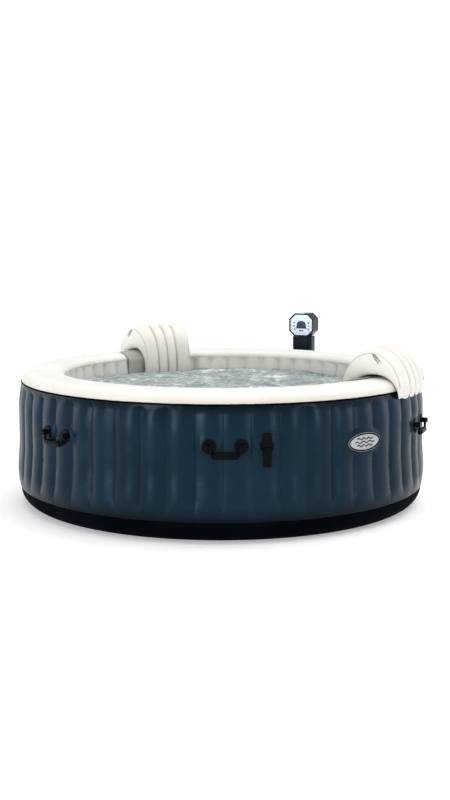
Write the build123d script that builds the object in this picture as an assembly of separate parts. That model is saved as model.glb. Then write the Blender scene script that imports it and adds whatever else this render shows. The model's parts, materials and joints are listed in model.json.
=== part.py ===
from build123d import *
import math
import os

# Inflatable hot tub with its control base. Millimetres, +Z up.
# The origin is on the ground at the tub's axis. An azimuth is counted from -Y towards +X.

# Tub
OUTER_R = 1080.0
INNER_R = 825.0
TOP_Z = 710.0
SEAM_Z = 651.5
SEAM_R = 1060.0
BAND_Z = 103.5
BAND_R = 1072.0
SKIN = 5.0
BEAMS = 51
BEAM_FIRST = 0.6
BEAM_THICK = 2.0

# Carry handles
HANDLE_AZIMUTHS = (1.0, 69.5, 121.0, 190.0, 241.0, 312.5)
HANDLE_Z = 460.0
PATCH_R = 33.5
PATCH_THICK = 4.2
PATCH_HALF_SPAN = 74.0
PIN_R = 4.0
PIN_CLEAR = 0.05
PIN_OUT = 18.0
GRIP_R = 13.0
GRIP_DROP = 42.0
GRIP_LENGTH = 122.0
ARM_R = 6.5
ARM_X = 69.0
EYE_HALF = 5.5
BOSS_NEAR = 77.0
BOSS_FAR = 97.0

# Cover buckles
BUCKLE_AZIMUTHS = (11.2, 131.2, 251.2)
BUCKLE_WIDTH = 41.0
BUCKLE_PIN_R = 2.5
BUCKLE_PIN_OUT = 13.0
BUCKLE_PIN_DROP = 12.0
BUCKLE_BOTTOM = 95.0
BUCKLE_THICK = 13.0

# Badge
BADGE_AZIMUTH = 39.1
BADGE_Z = 440.0
BADGE_WIDTH = 210.0
BADGE_HEIGHT = 90.0

# Headrests: centre azimuth, width along the rim in degrees, height of the crown
HEADRESTS = {"headrest_right": (62.5, 20.0, 857.0), "headrest_left": (-155.6, 21.0, 866.0)}

# Control base: azimuth and distance of its axis, then sizes in its own frame (y outwards)
BASE_AZIMUTH = 158.16
BASE_Y = 1443.0
BASE_WIDTH = 380.0
BASE_FRONT_Y = 1215.0
BASE_REAR_Y = 1625.0
BASE_CORNER = 60.0
BASE_TOP_Z = 600.0
TRAY_Z = 70.0
FOOT_Z = 12.0
WALL = 4.0
NECK_WIDTH = 129.0
NECK_DEPTH = 110.0
NECK_TOP_Z = 748.5
SPIGOT_R = 30.0

# Ports between the tub and the control base
PORT_X = -20.0
SUCTION_Z = 150.0
RETURN_Z = 300.0
AIR_Z = 430.0
PIPE_R = 24.0
PIPE_BORE = 20.0
AIR_PIPE_R = 14.0
AIR_PIPE_BORE = 11.0
PIPE_END_Y = 1112.0
STUB_Y = 1203.0

# Control head
HEAD_WIDTH = 162.0
HEAD_HEIGHT = 148.0
HEAD_Z = 824.0
HEAD_DEPTH = 120.0
HEAD_CUT = 36.0
BEZEL_DEPTH = 16.0
BEZEL_BORDER = 9.0
BUTTON_R = 5.2
BUTTON_SPOTS = {
    "button_up": (-8.0, -36.0),
    "button_down": (8.0, -36.0),
    "button_power": (-49.0, 14.0),
    "button_heat": (-49.0, -6.0),
    "button_filter": (-45.5, -28.0),
    "button_bubble": (49.0, 14.0),
    "button_timer": (49.0, -6.0),
    "button_lock": (45.5, -28.0),
}

# Valves on the tub
INFLATION_AZIMUTH = 96.0
INFLATION_Z = 560.0
DRAIN_AZIMUTH = 138.25
DRAIN_Z = 70.0

BOTTOM_UP = (Align.CENTER, Align.CENTER, Align.MIN)


def around(azimuth, radius=0.0, height=0.0):
    """Local frame on the tub: x along the wall, y outwards, z up."""
    turn = math.radians(azimuth)
    spot = (radius * math.sin(turn), -radius * math.cos(turn), height)
    return Location(spot, (0, 0, azimuth + 180.0))


def bar_x(radius, x_from, x_to, y=0.0, z=0.0):
    """Round bar along x."""
    return Pos(x_from, y, z) * Rot(0, 90, 0) * Cylinder(radius, x_to - x_from, align=BOTTOM_UP)


def bar_y(radius, y_from, y_to, x=0.0, z=0.0):
    """Round bar along y."""
    return Pos(x, y_from, z) * Rot(-90, 0, 0) * Cylinder(radius, y_to - y_from, align=BOTTOM_UP)


def block(x, y, z):
    """Box between low and high values on each axis."""
    size = (x[1] - x[0], y[1] - y[0], z[1] - z[0])
    return Pos(x[0], y[0], z[0]) * Box(*size, align=(Align.MIN, Align.MIN, Align.MIN))


def turned(section):
    """Solid of revolution about the tub's axis from a section drawn as (radius, height)."""
    return revolve(Plane.XZ * section, axis=Axis.Z)


def skin(points, radius):
    """Welded sheet: a centre line with rounded corners, given its thickness and turned."""
    return turned(trace(FilletPolyline(*points, radius=radius), SKIN))


def hoop(inner, outer, low, high):
    """Plain ring about the tub's axis."""
    return turned(Pos((inner + outer) / 2, (low + high) / 2) * Rectangle(outer - inner, high - low))


def wall_layer(low=300.0, high=600.0, start=0.4, thick=PATCH_THICK):
    """Thin layer just outside the wall, from which patches are cut."""
    return hoop(OUTER_R + start, OUTER_R + start + thick, low, high)


def port_holes():
    """Three cutters that pass from the control base into the tub."""
    cutters = []
    for height, radius in ((SUCTION_Z, PIPE_R), (RETURN_Z, PIPE_R), (AIR_Z, AIR_PIPE_R)):
        cutters.append(around(BASE_AZIMUTH) * bar_y(radius + 0.4, 790, 1240, PORT_X, height))
    return cutters


def tub_skins():
    outer = skin(
        [(SEAM_R, 645), (OUTER_R - 2.5, 560), (OUTER_R - 2.5, 180), (BAND_R, 106)],
        120,
    )
    inner = skin([(INNER_R + 9.5, 662), (INNER_R + 2.5, 600), (INNER_R + 2.5, 6.5)], 80)
    base = skin([(0, 2.5), (OUTER_R - 14, 2.5), (BAND_R, 101)], 85)
    for cutter in port_holes():
        outer -= cutter
        inner -= cutter
    outer -= around(INFLATION_AZIMUTH) * bar_y(24.4, 1040, 1100, 0, INFLATION_Z)
    drain = around(DRAIN_AZIMUTH) * bar_y(12.4, 800, 1100, 0, DRAIN_Z)
    rim_line = [(SEAM_R, 658), (SEAM_R - 11, 699), (950, 709), (856, 702), (INNER_R + 10, 669)]
    return {
        "outer_wall": outer,
        "inner_wall": inner - drain,
        "base_skin": base - drain,
        "top_rim": turned(trace(FilletPolyline(*rim_line, radius=[26, 400, 26]), SKIN)),
        "floor_liner": Pos(0, 0, 5.5) * Cylinder(822, 6, align=BOTTOM_UP),
        "seam_welts": Compound(children=[
            hoop(SEAM_R - 5, SEAM_R + 5, SEAM_Z - 5, SEAM_Z + 4.6),
            hoop(BAND_R - 3, BAND_R + 3.4, BAND_Z - 1, BAND_Z + 1),
        ]),
    }


def wall_beams():
    """Upright webs that tie the two walls together inside the air chamber."""
    outline = Polygon(
        (INNER_R + 9, 12), (985, 12), (1032, 30), (1058, 75), (1066, 115), (1072, 185),
        (1072, 555), (1054, 640), (1036, 684), (866, 684), (840, 640),
        align=None,
    )
    web = extrude(Plane.XZ * outline, amount=BEAM_THICK / 2, both=True)
    pitch = 360.0 / BEAMS
    webs = []
    for index in range(BEAMS):
        webs.append(Rot(0, 0, BEAM_FIRST + index * pitch - 90.0) * web)
    return {"wall_beams": Compound(children=webs)}


def bubble_ring():
    """Air duct round the foot of the inner wall, with a row of bubble holes."""
    duct = Pos(804, 29) * Rectangle(36, 32)
    ring = turned(duct) - turned(Pos(804, 29) * Rectangle(30, 26))
    count = 48
    for index in range(count):
        spot = around((index + 0.5) * 360.0 / count, 804, 36)
        ring -= spot * Cylinder(2.0, 20, align=BOTTOM_UP)
    return {"bubble_ring": ring}


def handle_lugs():
    """Welded round patches, each with a boss and a stub pin."""
    layer = wall_layer(HANDLE_Z - 40, HANDLE_Z + 40)
    step = math.degrees(PATCH_HALF_SPAN / OUTER_R)
    core = Cylinder(OUTER_R + 3, 900, align=BOTTOM_UP)
    lugs = []
    for azimuth in HANDLE_AZIMUTHS:
        for side in (-1, 1):
            disc = around(azimuth - side * step, 0, HANDLE_Z) * bar_y(PATCH_R, 1040, 1120)
            near, far = sorted((side * BOSS_NEAR, side * BOSS_FAR))
            boss = block((near, far), (1060, 1108), (-13, 13))
            boss = fillet(boss.edges().filter_by(Axis.Y), 8)
            boss = around(azimuth, 0, HANDLE_Z) * boss
            tip = ARM_X - EYE_HALF - 0.5
            near, far = sorted((side * tip, side * (BOSS_NEAR + 1)))
            pin = around(azimuth, 0, HANDLE_Z) * bar_x(PIN_R, near, far, OUTER_R + PIN_OUT)
            lugs.append((disc & layer) + (boss - core) + pin)
    return {"handle_lugs": Compound(children=lugs)}


def handle_grip():
    """Bail with a thick finger bar, hanging from its two stub pins (pins at the origin)."""
    path = FilletPolyline(
        (-ARM_X, 0, 0), (-ARM_X, 0, -GRIP_DROP), (ARM_X, 0, -GRIP_DROP), (ARM_X, 0, 0),
        radius=16,
    )
    bail = sweep(Pos(-ARM_X, 0) * Circle(ARM_R), path=path)
    bar = bar_x(GRIP_R, -GRIP_LENGTH / 2, GRIP_LENGTH / 2, 0, -GRIP_DROP)
    bar = fillet(bar.edges(), 4)
    grip = bail + bar
    for side in (-1, 1):
        near, far = sorted((side * (ARM_X - EYE_HALF), side * (ARM_X + EYE_HALF)))
        grip += bar_x(11, near, far)
    return grip - bar_x(PIN_R + PIN_CLEAR, -90, 90)


def handles():
    grip = handle_grip()
    made = {}
    for index, azimuth in enumerate(HANDLE_AZIMUTHS, start=1):
        made[f"handle_{index}"] = around(azimuth, OUTER_R + PIN_OUT, HANDLE_Z) * grip
    return made


def buckles():
    """Cover buckles: a patch with a tab and a pin, and the socket half hanging on the pin."""
    layer = wall_layer(HANDLE_Z - 40, HANDLE_Z + 40)
    anchors = []
    made = {}
    half = BUCKLE_WIDTH / 2
    pin_z = -BUCKLE_PIN_DROP
    for index, azimuth in enumerate(BUCKLE_AZIMUTHS, start=1):
        place = around(azimuth, OUTER_R, HANDLE_Z)
        disc = (around(azimuth, 0, HANDLE_Z) * bar_y(PATCH_R, 1040, 1120)) & layer
        tab = block((-half, half), (3, 7), (0, 60))
        tab = fillet(tab.edges().filter_by(Axis.Y), 5)
        pin = bar_x(BUCKLE_PIN_R, -17, 17, BUCKLE_PIN_OUT, pin_z)
        anchor = tab + pin
        for side in (-1, 1):
            near, far = sorted((side * 16.5, side * half))
            ear = block((near, far), (3, BUCKLE_PIN_OUT + 5), (pin_z - 5, pin_z + 5))
            anchor += ear
        anchors.append(disc + place * anchor)

        low_y = BUCKLE_PIN_OUT - BUCKLE_THICK / 2
        high_y = BUCKLE_PIN_OUT + BUCKLE_THICK / 2
        body = block((-19, 19), (low_y, high_y), (-BUCKLE_BOTTOM, pin_z - 7.8))
        body = fillet(body.edges().filter_by(Axis.Z), 4)
        neck = block((-13, 13), (BUCKLE_PIN_OUT - 4, BUCKLE_PIN_OUT + 4), (pin_z - 10, pin_z))
        barrel = bar_x(5.5, -16, 16, BUCKLE_PIN_OUT, pin_z)
        body += neck
        body += barrel
        body -= bar_x(BUCKLE_PIN_R + PIN_CLEAR, -30, 30, BUCKLE_PIN_OUT, pin_z)
        body -= block((-15, 15), (BUCKLE_PIN_OUT - 4.5, BUCKLE_PIN_OUT + 4.5), (-100, -46))
        body -= block((-30, 30), (BUCKLE_PIN_OUT - 3, BUCKLE_PIN_OUT + 3), (-82, -60))
        made[f"buckle_{index}"] = place * body
    made["buckle_anchors"] = Compound(children=anchors)
    return made


def badge():
    """Oval plate bent to the wall, with a raised border."""
    outer = Plane.XZ * Ellipse(BADGE_WIDTH / 2, BADGE_HEIGHT / 2)
    inner = Plane.XZ * Ellipse(BADGE_WIDTH / 2 - 9, BADGE_HEIGHT / 2 - 9)
    place = around(BADGE_AZIMUTH, OUTER_R, BADGE_Z)
    plate = place * extrude(outer, amount=40, both=True)
    hollow = place * extrude(inner, amount=40, both=True)
    low, high = BADGE_Z - 60, BADGE_Z + 60
    body = plate & wall_layer(low, high, 0.4, 2.6)
    border = (plate - hollow) & wall_layer(low, high, 2.0, 3.0)
    return {"badge": body + border}


def headrest(azimuth, width, crown):
    """Inflated saddle pad that straddles the rim."""
    outer = [(744, 575), (752, 720), (836, crown), (985, crown), (1096, 730), (1106, 628)]
    inner = [(1083, 628), (1080, 696), (1040, 714), (866, 714), (818, 690), (808, 575)]
    corners = [18, 70, 60, 60, 70, 9, 9, 20, 30, 30, 30, 18]
    line = FilletPolyline(*(outer + inner), radius=corners, close=True)
    section = Plane.XZ * make_face(line)
    pad = revolve(section, axis=Axis.Z, revolution_arc=width)
    return Rot(0, 0, azimuth - 90.0 - width / 2) * pad


def headrests():
    made = {}
    for name, (azimuth, width, crown) in HEADRESTS.items():
        made[name] = headrest(azimuth, width, crown)
    return made


def tube_y(outer, bore, y_from, y_to, x=0.0, z=0.0):
    """Pipe along y."""
    return bar_y(outer, y_from, y_to, x, z) - bar_y(bore, y_from - 1, y_to + 1, x, z)


def ribbed_nut(outer, bore, y_from, y_to, x, z):
    """Union nut with grip flutes."""
    nut = tube_y(outer, bore, y_from, y_to, x, z)
    for index in range(12):
        turn = math.radians(index * 30.0)
        spot = (x + (outer + 1) * math.cos(turn), z + (outer + 1) * math.sin(turn))
        nut -= bar_y(3.0, y_from - 1, y_to + 1, *spot)
    return nut


def corrugated_hose(crest, root, bore, y_from, y_to, z):
    """Short corrugated hose, held at both ends."""
    length = y_to - y_from
    ribs = 11
    step = length / ribs
    points = [(bore, 0)]
    for index in range(ribs):
        low = index * step
        points += [(root, low), (root, low + step * 0.3), (crest, low + step * 0.45)]
        points += [(crest, low + step * 0.85), (root, low + step)]
    points.append((bore, length))
    unique = [spot for index, spot in enumerate(points) if index == 0 or spot != points[index - 1]]
    tube = revolve(Plane.XZ * Polygon(*unique, align=None), axis=Axis.Z)
    return Pos(PORT_X, y_from, z) * Rot(-90, 0, 0) * tube


def wall_fittings():
    """Pipes through the wall with flanges, seals, nuts, grids and the hoses to the base."""
    place = around(BASE_AZIMUTH)
    pipes = []
    gaskets = []
    nuts = []
    hoses = []
    rows = (
        (SUCTION_Z, PIPE_R, PIPE_BORE, 38.0, 36.0, (23.4, 21.0, 18.5)),
        (RETURN_Z, PIPE_R, PIPE_BORE, 38.0, 36.0, (23.4, 21.0, 18.5)),
        (AIR_Z, AIR_PIPE_R, AIR_PIPE_BORE, 26.0, 23.0, (13.4, 11.6, 9.5)),
    )
    for height, radius, bore, flange, nut, hose in rows:
        pipe = tube_y(radius, bore, 812, PIPE_END_Y, PORT_X, height)
        pipe += tube_y(flange, bore, 812, 819, PORT_X, height)
        pipes.append(place * pipe)
        for low, high in ((819.2, 821.8), (1081.0, 1084.0)):
            gaskets.append(place * tube_y(flange - 1, radius + 0.3, low, high, PORT_X, height))
        nuts.append(place * ribbed_nut(flange, radius + 0.3, 1084.2, 1095, PORT_X, height))
        for low, high in ((1098, 1121), (1191, 1213)):
            nuts.append(place * ribbed_nut(nut, radius + 0.3, low, high, PORT_X, height))
        hoses.append(place * corrugated_hose(*hose, PIPE_END_Y + 0.3, STUB_Y - 0.3, height))

    grid = bar_y(38, 806, 811.7, PORT_X, RETURN_Z)
    for row in range(-2, 3):
        reach = math.sqrt(34.0**2 - (row * 12.0) ** 2) - 3
        slot = block((PORT_X - reach, PORT_X + reach), (800, 815), (-2.5, 2.5))
        grid -= Pos(0, 0, RETURN_Z + row * 12.0) * slot
    return {
        "wall_fittings": Compound(children=pipes),
        "fitting_gaskets": Compound(children=gaskets),
        "union_nuts": Compound(children=nuts),
        "connecting_hoses": Compound(children=hoses),
        "return_grid": place * grid,
    }


def water_filter():
    """Slotted cage on the suction fitting inside the tub, its cartridge and its turning cap."""
    place = around(BASE_AZIMUTH)
    cage = tube_y(58, 54.5, 716, 808, PORT_X, SUCTION_Z)
    cage += tube_y(58, 22, 808, 811.7, PORT_X, SUCTION_Z)
    for index in range(16):
        slot = block((-3.5, 3.5), (724, 800), (45, 70))
        cage -= Pos(PORT_X, 0, SUCTION_Z) * Rot(0, index * 22.5, 0) * slot
    pleats = 28
    tips = []
    for index in range(pleats * 2):
        turn = math.pi * index / pleats
        reach = 50.0 if index % 2 == 0 else 39.0
        tips.append((reach * math.cos(turn), reach * math.sin(turn)))
    paper = extrude(Polygon(*tips, align=None), amount=78) - Cylinder(27, 78, align=BOTTOM_UP)
    end = Cylinder(52, 5, align=BOTTOM_UP) - Cylinder(24, 5, align=BOTTOM_UP)
    cartridge = Pos(0, 0, 5) * paper + end + Pos(0, 0, 83) * end
    cartridge = Pos(PORT_X, 718.5, SUCTION_Z) * Rot(-90, 0, 0) * cartridge
    cap = bar_y(60, 704, 715.5, PORT_X, SUCTION_Z)
    cap = fillet(cap.edges().sort_by(Axis.Y)[0], 4)
    grip = block((PORT_X - 36, PORT_X + 36), (692, 705), (SUCTION_Z - 5, SUCTION_Z + 5))
    cap += fillet(grip.edges().filter_by(Axis.Y), 3)
    return {
        "filter_cage": place * cage,
        "filter_cartridge": place * cartridge,
        "filter_cap": place * cap,
    }


def valves():
    """Inflation valve high on the wall, drain pipe low through it, and their hinged caps."""
    place = around(INFLATION_AZIMUTH, 0, INFLATION_Z)
    body = tube_y(24, 19, 1052, 1086)
    body += tube_y(34, 19, 1080.6, 1086)
    cap = bar_y(30, 1086.5, 1097)
    cap = fillet(cap.edges().sort_by(Axis.Y)[-1], 3)
    pin_z = 38.0
    for side in (-1, 1):
        near, far = sorted((side * 7.0, side * 11.0))
        body += block((near, far), (1080.6, 1094), (31, pin_z + 5))
    body += bar_x(2.0, -8, 8, 1090.5, pin_z)
    cap += block((-5.5, 5.5), (1088, 1093), (20, pin_z))
    cap += bar_x(3.5, -6.0, 6.0, 1090.5, pin_z)
    cap -= bar_x(2.0 + PIN_CLEAR, -20, 20, 1090.5, pin_z)
    made = {"inflation_valve": place * body, "inflation_cap": place * cap}

    place = around(DRAIN_AZIMUTH, 0, DRAIN_Z)
    pipe = tube_y(12, 9, 815, 1095)
    pipe += tube_y(20, 9, 815, 820)
    pipe += tube_y(22, 9, 1081, 1086)
    cap = bar_y(16, 1090, 1112) - bar_y(12.8, 1089, 1107)
    cap = fillet(cap.edges().sort_by(Axis.Y)[-1], 2)
    pin_z = 24.0
    for side in (-1, 1):
        near, far = sorted((side * 6.0, side * 9.0))
        pipe += block((near, far), (1081, 1094), (17, pin_z + 4))
    pipe += bar_x(2.0, -7, 7, 1090.5, pin_z)
    cap += block((-4.5, 4.5), (1090, 1096), (14, pin_z - 2))
    cap += bar_x(3.4, -5.2, 5.2, 1090.5, pin_z)
    cap -= bar_x(2.0 + PIN_CLEAR, -20, 20, 1090.5, pin_z)
    made["drain_fitting"] = place * pipe
    made["drain_cap"] = place * cap
    return made


def base_block(inset, low, high):
    """Rounded upright block with the control base's outline."""
    width = BASE_WIDTH - 2 * inset
    depth = BASE_REAR_Y - BASE_FRONT_Y - 2 * inset
    middle = (BASE_FRONT_Y + BASE_REAR_Y) / 2
    outline = RectangleRounded(width, depth, BASE_CORNER - inset)
    return Pos(0, middle, low) * extrude(outline, amount=high - low)


def base_casing():
    """Tray, feet and cover of the control base, with ports, louvres and a cable gland."""
    place = around(BASE_AZIMUTH)
    tray = base_block(0, FOOT_Z, TRAY_Z) - base_block(WALL, FOOT_Z + WALL, TRAY_Z + 1)
    shell = base_block(0, TRAY_Z + 0.3, BASE_TOP_Z)
    shell = fillet(shell.edges().group_by(Axis.Z)[-1], 30)
    hollow = base_block(WALL, TRAY_Z, BASE_TOP_Z - WALL)
    shell -= fillet(hollow.edges().group_by(Axis.Z)[-1], 26)
    for height, radius in ((SUCTION_Z, PIPE_R), (RETURN_Z, PIPE_R), (AIR_Z, AIR_PIPE_R)):
        shell -= bar_y(radius + 0.4, 1200, 1240, PORT_X, height)
    for row in range(8):
        low = 400 + row * 16
        shell -= block((-90, 90), (BASE_REAR_Y - 10, BASE_REAR_Y + 5), (low, low + 6))
    shell -= bar_y(9, BASE_REAR_Y - 10, BASE_REAR_Y + 5, 0, 110)
    shell -= Pos(0, BASE_Y, 590) * Cylinder(22, 20, align=BOTTOM_UP)

    feet = []
    screws = []
    for x in (-140, 140):
        for y in (BASE_FRONT_Y + 50, BASE_REAR_Y - 50):
            feet.append(place * Pos(x, y, 0) * Cylinder(18, FOOT_Z - 0.2, align=BOTTOM_UP))
    side_x = BASE_WIDTH / 2
    for x_from, x_to in ((-side_x - 2.5, -side_x - 0.1), (side_x + 0.1, side_x + 2.5)):
        for y in (BASE_FRONT_Y + 90, BASE_REAR_Y - 90):
            for z in (90, 540):
                screws.append(place * bar_x(5, x_from, x_to, y, z))
    gland = tube_y(8.7, 4.5, BASE_REAR_Y - 12, BASE_REAR_Y + 18, 0, 110)
    gland += tube_y(14, 4.5, BASE_REAR_Y + 0.3, BASE_REAR_Y + 8, 0, 110)
    return {
        "base_tray": place * tray,
        "base_cover": place * shell,
        "base_feet": Compound(children=feet),
        "base_screws": Compound(children=screws),
        "power_gland": place * gland,
    }


def neck():
    """Hollow column on the control base, with the spigot that the head turns on."""
    outline = RectangleRounded(NECK_WIDTH, NECK_DEPTH, 28)
    bore = RectangleRounded(NECK_WIDTH - 2 * WALL, NECK_DEPTH - 2 * WALL, 24)
    foot = RectangleRounded(NECK_WIDTH + 24, NECK_DEPTH + 24, 38)
    low = BASE_TOP_Z + 0.3
    column = Pos(0, 0, low) * extrude(outline, amount=NECK_TOP_Z - low)
    column += Pos(0, 0, low) * extrude(foot, amount=6)
    column -= Pos(0, 0, low - 1) * extrude(bore, amount=NECK_TOP_Z - low + 1 - WALL)
    column += Pos(0, 0, NECK_TOP_Z) * Cylinder(SPIGOT_R, 9, align=BOTTOM_UP)
    column -= Pos(0, 0, NECK_TOP_Z - 20) * Cylinder(18, 60, align=BOTTOM_UP)
    return {"neck": around(BASE_AZIMUTH) * Pos(0, BASE_Y, 0) * column}


def machinery():
    """Pump, heater, blower and power board inside the control base."""
    place = around(BASE_AZIMUTH)
    pump = bar_y(70, 1262, 1318, PORT_X, SUCTION_Z) - bar_y(62, 1268, 1312, PORT_X, SUCTION_Z)
    pump += tube_y(PIPE_R, PIPE_BORE, STUB_Y, 1266, PORT_X, SUCTION_Z)
    pump -= bar_y(PIPE_BORE, STUB_Y - 1, 1275, PORT_X, SUCTION_Z)
    riser = Pos(PORT_X, 1290, SUCTION_Z + 60) * Cylinder(18, RETURN_Z - SUCTION_Z - 94,
                                                        align=BOTTOM_UP)
    riser_bore = Pos(PORT_X, 1290, SUCTION_Z + 50) * Cylinder(14, 120, align=BOTTOM_UP)
    motor = bar_y(54, 1318, 1440, PORT_X, SUCTION_Z)
    motor = fillet(motor.edges().sort_by(Axis.Y)[-1], 8)
    pump = pump + riser - riser_bore + motor
    pump -= bar_y(6 + PIN_CLEAR, 1300, 1345, PORT_X, SUCTION_Z)

    impeller = bar_y(56, 1300, 1304, PORT_X, SUCTION_Z)
    impeller += bar_y(14, 1284, 1304, PORT_X, SUCTION_Z)
    impeller += bar_y(6, 1304, 1342, PORT_X, SUCTION_Z)
    for index in range(6):
        blade = block((12, 54), (1284, 1301), (-1.5, 1.5))
        impeller += Pos(PORT_X, 0, SUCTION_Z) * Rot(0, index * 60.0, 0) * blade

    heater = tube_y(32, 27, 1226, 1430, PORT_X, RETURN_Z)
    heater += tube_y(32, PIPE_BORE, 1224, 1229, PORT_X, RETURN_Z)
    heater += tube_y(PIPE_R, PIPE_BORE, STUB_Y, 1226, PORT_X, RETURN_Z)
    heater += bar_y(36, 1428, 1440, PORT_X, RETURN_Z)
    heater -= Pos(PORT_X, 1290, RETURN_Z - 40) * Cylinder(14, 20, align=BOTTOM_UP)

    blower = bar_y(72, 1262, 1312, PORT_X, AIR_Z) - bar_y(66, 1266, 1308, PORT_X, AIR_Z)
    blower += tube_y(AIR_PIPE_R, AIR_PIPE_BORE, STUB_Y, 1264, PORT_X, AIR_Z)
    blower -= bar_y(AIR_PIPE_BORE, STUB_Y - 1, 1275, PORT_X, AIR_Z)
    blower += bar_y(38, 1312, 1390, PORT_X, AIR_Z)
    blower -= bar_y(4 + PIN_CLEAR, 1290, 1335, PORT_X, AIR_Z)

    fan = bar_y(60, 1300, 1303, PORT_X, AIR_Z)
    fan += bar_y(10, 1278, 1303, PORT_X, AIR_Z)
    fan += bar_y(4, 1303, 1332, PORT_X, AIR_Z)
    for index in range(12):
        vane = block((38, 58), (1276, 1301), (-1.0, 1.0))
        fan += Pos(PORT_X, 0, AIR_Z) * Rot(0, index * 30.0, 0) * vane

    board = block((90, 93), (1290, 1560), (140, 480))
    spots = ((1330, 200, 26), (1400, 200, 20), (1480, 220, 30), (1350, 380, 34), (1470, 390, 24))
    for y, z, size in spots:
        board += block((70, 91), (y, y + size), (z, z + size * 1.4))
    return {
        "pump_housing": place * pump,
        "pump_impeller": place * impeller,
        "heater": place * heater,
        "blower_housing": place * blower,
        "blower_fan": place * fan,
        "power_board": place * board,
    }


def octagon(inset):
    """Head outline: a rectangle with cut and softened corners, about the head's centre."""
    wide = HEAD_WIDTH / 2 - inset
    tall = HEAD_HEIGHT / 2 - inset
    cut = HEAD_CUT - inset * 0.6
    points = []
    for x, z, flip in ((1, 1, 1), (1, -1, -1), (-1, -1, 1), (-1, 1, -1)):
        pair = [(x * (wide - cut), z * tall), (x * wide, z * (tall - cut))]
        points += pair if flip > 0 else pair[::-1]
    outline = Polygon(*points, align=None)
    return fillet(outline.vertices(), 12)


def head_slab(section, y_from, y_to):
    """Extrude a head section from one depth to another (the face looks towards -y)."""
    solid = extrude(Plane.XZ * section, amount=y_to - y_from, dir=(0, 1, 0))
    return Pos(0, y_from, HEAD_Z) * solid


def lcd_outline(grow=0.0):
    """Screen outline: a trapezoid with a wide foot under a low dome."""
    left = Line((-35 - grow, -23 - grow), (-28 - grow, 14))
    dome = ThreePointArc((-28 - grow, 14), (0, 27 + grow), (28 + grow, 14))
    right = Line((28 + grow, 14), (35 + grow, -23 - grow))
    foot = Line((35 + grow, -23 - grow), (-35 - grow, -23 - grow))
    return make_face([left, dome, right, foot])


def control_head():
    """Swivelling head: rear bucket, bezel, face with its screen, tab, board and buttons."""
    place = around(BASE_AZIMUTH)
    front = BASE_Y - HEAD_DEPTH / 2
    rear = BASE_Y + HEAD_DEPTH / 2
    seam = front + BEZEL_DEPTH
    bucket = head_slab(octagon(0), seam + 0.2, rear)
    bucket = fillet(bucket.edges().group_by(Axis.Y)[-1], 9)
    bucket -= head_slab(octagon(WALL), seam - 1, rear - WALL)
    spigot_hole = Pos(0, BASE_Y, HEAD_Z - HEAD_HEIGHT / 2 - 5)
    bucket += Pos(0, BASE_Y, 751) * Cylinder(SPIGOT_R + 6, 10, align=BOTTOM_UP)
    bucket -= spigot_hole * Cylinder(SPIGOT_R + PIN_CLEAR, 40, align=BOTTOM_UP)
    bezel = head_slab(octagon(0), front, seam) - head_slab(octagon(BEZEL_BORDER), front - 1, seam + 1)
    face = head_slab(octagon(BEZEL_BORDER + 0.3), front + 3, front + 7)
    face -= head_slab(lcd_outline(0.3), front, front + 10)
    buttons = {}
    for name, (x, z) in BUTTON_SPOTS.items():
        face -= bar_y(BUTTON_R + 0.3, front, front + 10, x, HEAD_Z + z)
        button = bar_y(BUTTON_R, front + 1.4, front + 9, x, HEAD_Z + z)
        button = fillet(button.edges().sort_by(Axis.Y)[0], 0.8)
        buttons[name] = place * button
    tab_outline = Polygon((-21, 0), (21, 0), (15, 7), (-15, 7), align=None)
    tab_top = HEAD_Z + HEAD_HEIGHT / 2 + 0.3
    tab = Pos(0, front + 2, tab_top) * extrude(Plane.XZ * tab_outline, amount=34, dir=(0, 1, 0))
    board = head_slab(octagon(WALL + 10), front + 12, front + 13.6)
    made = {
        "head_housing": place * bucket,
        "head_bezel": place * bezel,
        "panel_face": place * face,
        "screen": place * head_slab(lcd_outline(), front + 3.4, front + 6.6),
        "head_tab": place * tab,
        "control_board": place * board,
    }
    made.update(buttons)
    return made


def build():
    made = {}
    for maker in (
        tub_skins, wall_beams, bubble_ring, handle_lugs, handles, buckles, badge, headrests,
        wall_fittings, water_filter, valves, base_casing, neck, machinery, control_head,
    ):
        made.update(maker())
    return made


os.makedirs("parts", exist_ok=True)
for node_name, shape in build().items():
    export_step(shape, f"parts/{node_name}.step")
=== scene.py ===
import json
import math
import random
import bmesh
import bpy
import numpy as np
from mathutils import Matrix, Vector, noise


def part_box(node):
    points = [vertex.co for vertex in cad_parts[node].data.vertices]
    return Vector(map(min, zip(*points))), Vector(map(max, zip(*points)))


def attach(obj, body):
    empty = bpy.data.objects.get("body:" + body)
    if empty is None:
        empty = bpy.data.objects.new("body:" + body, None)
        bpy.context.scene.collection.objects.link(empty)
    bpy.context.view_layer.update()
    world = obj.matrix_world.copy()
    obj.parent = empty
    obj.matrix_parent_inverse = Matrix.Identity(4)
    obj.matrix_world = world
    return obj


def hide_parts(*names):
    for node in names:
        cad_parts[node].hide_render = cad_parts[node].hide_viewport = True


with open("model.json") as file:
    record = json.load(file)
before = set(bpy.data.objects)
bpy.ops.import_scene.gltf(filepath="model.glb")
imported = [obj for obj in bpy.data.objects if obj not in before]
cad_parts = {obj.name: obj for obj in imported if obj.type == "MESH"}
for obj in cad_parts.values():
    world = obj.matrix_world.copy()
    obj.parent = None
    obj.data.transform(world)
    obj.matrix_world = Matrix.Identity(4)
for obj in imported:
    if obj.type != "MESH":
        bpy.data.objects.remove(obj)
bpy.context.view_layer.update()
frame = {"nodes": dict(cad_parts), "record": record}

# Inflatable hot tub. Metres. Azimuth is counted from -Y towards +X, as in the CAD.
OUTER_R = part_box("outer_wall")[1].x
SEAM_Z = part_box("seam_welts")[1].z - 0.0047
SEAM_R = 1.0622
BAND_Z = 0.1035
BAND_R = 1.0755
RIM_TOP = 0.710
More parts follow.
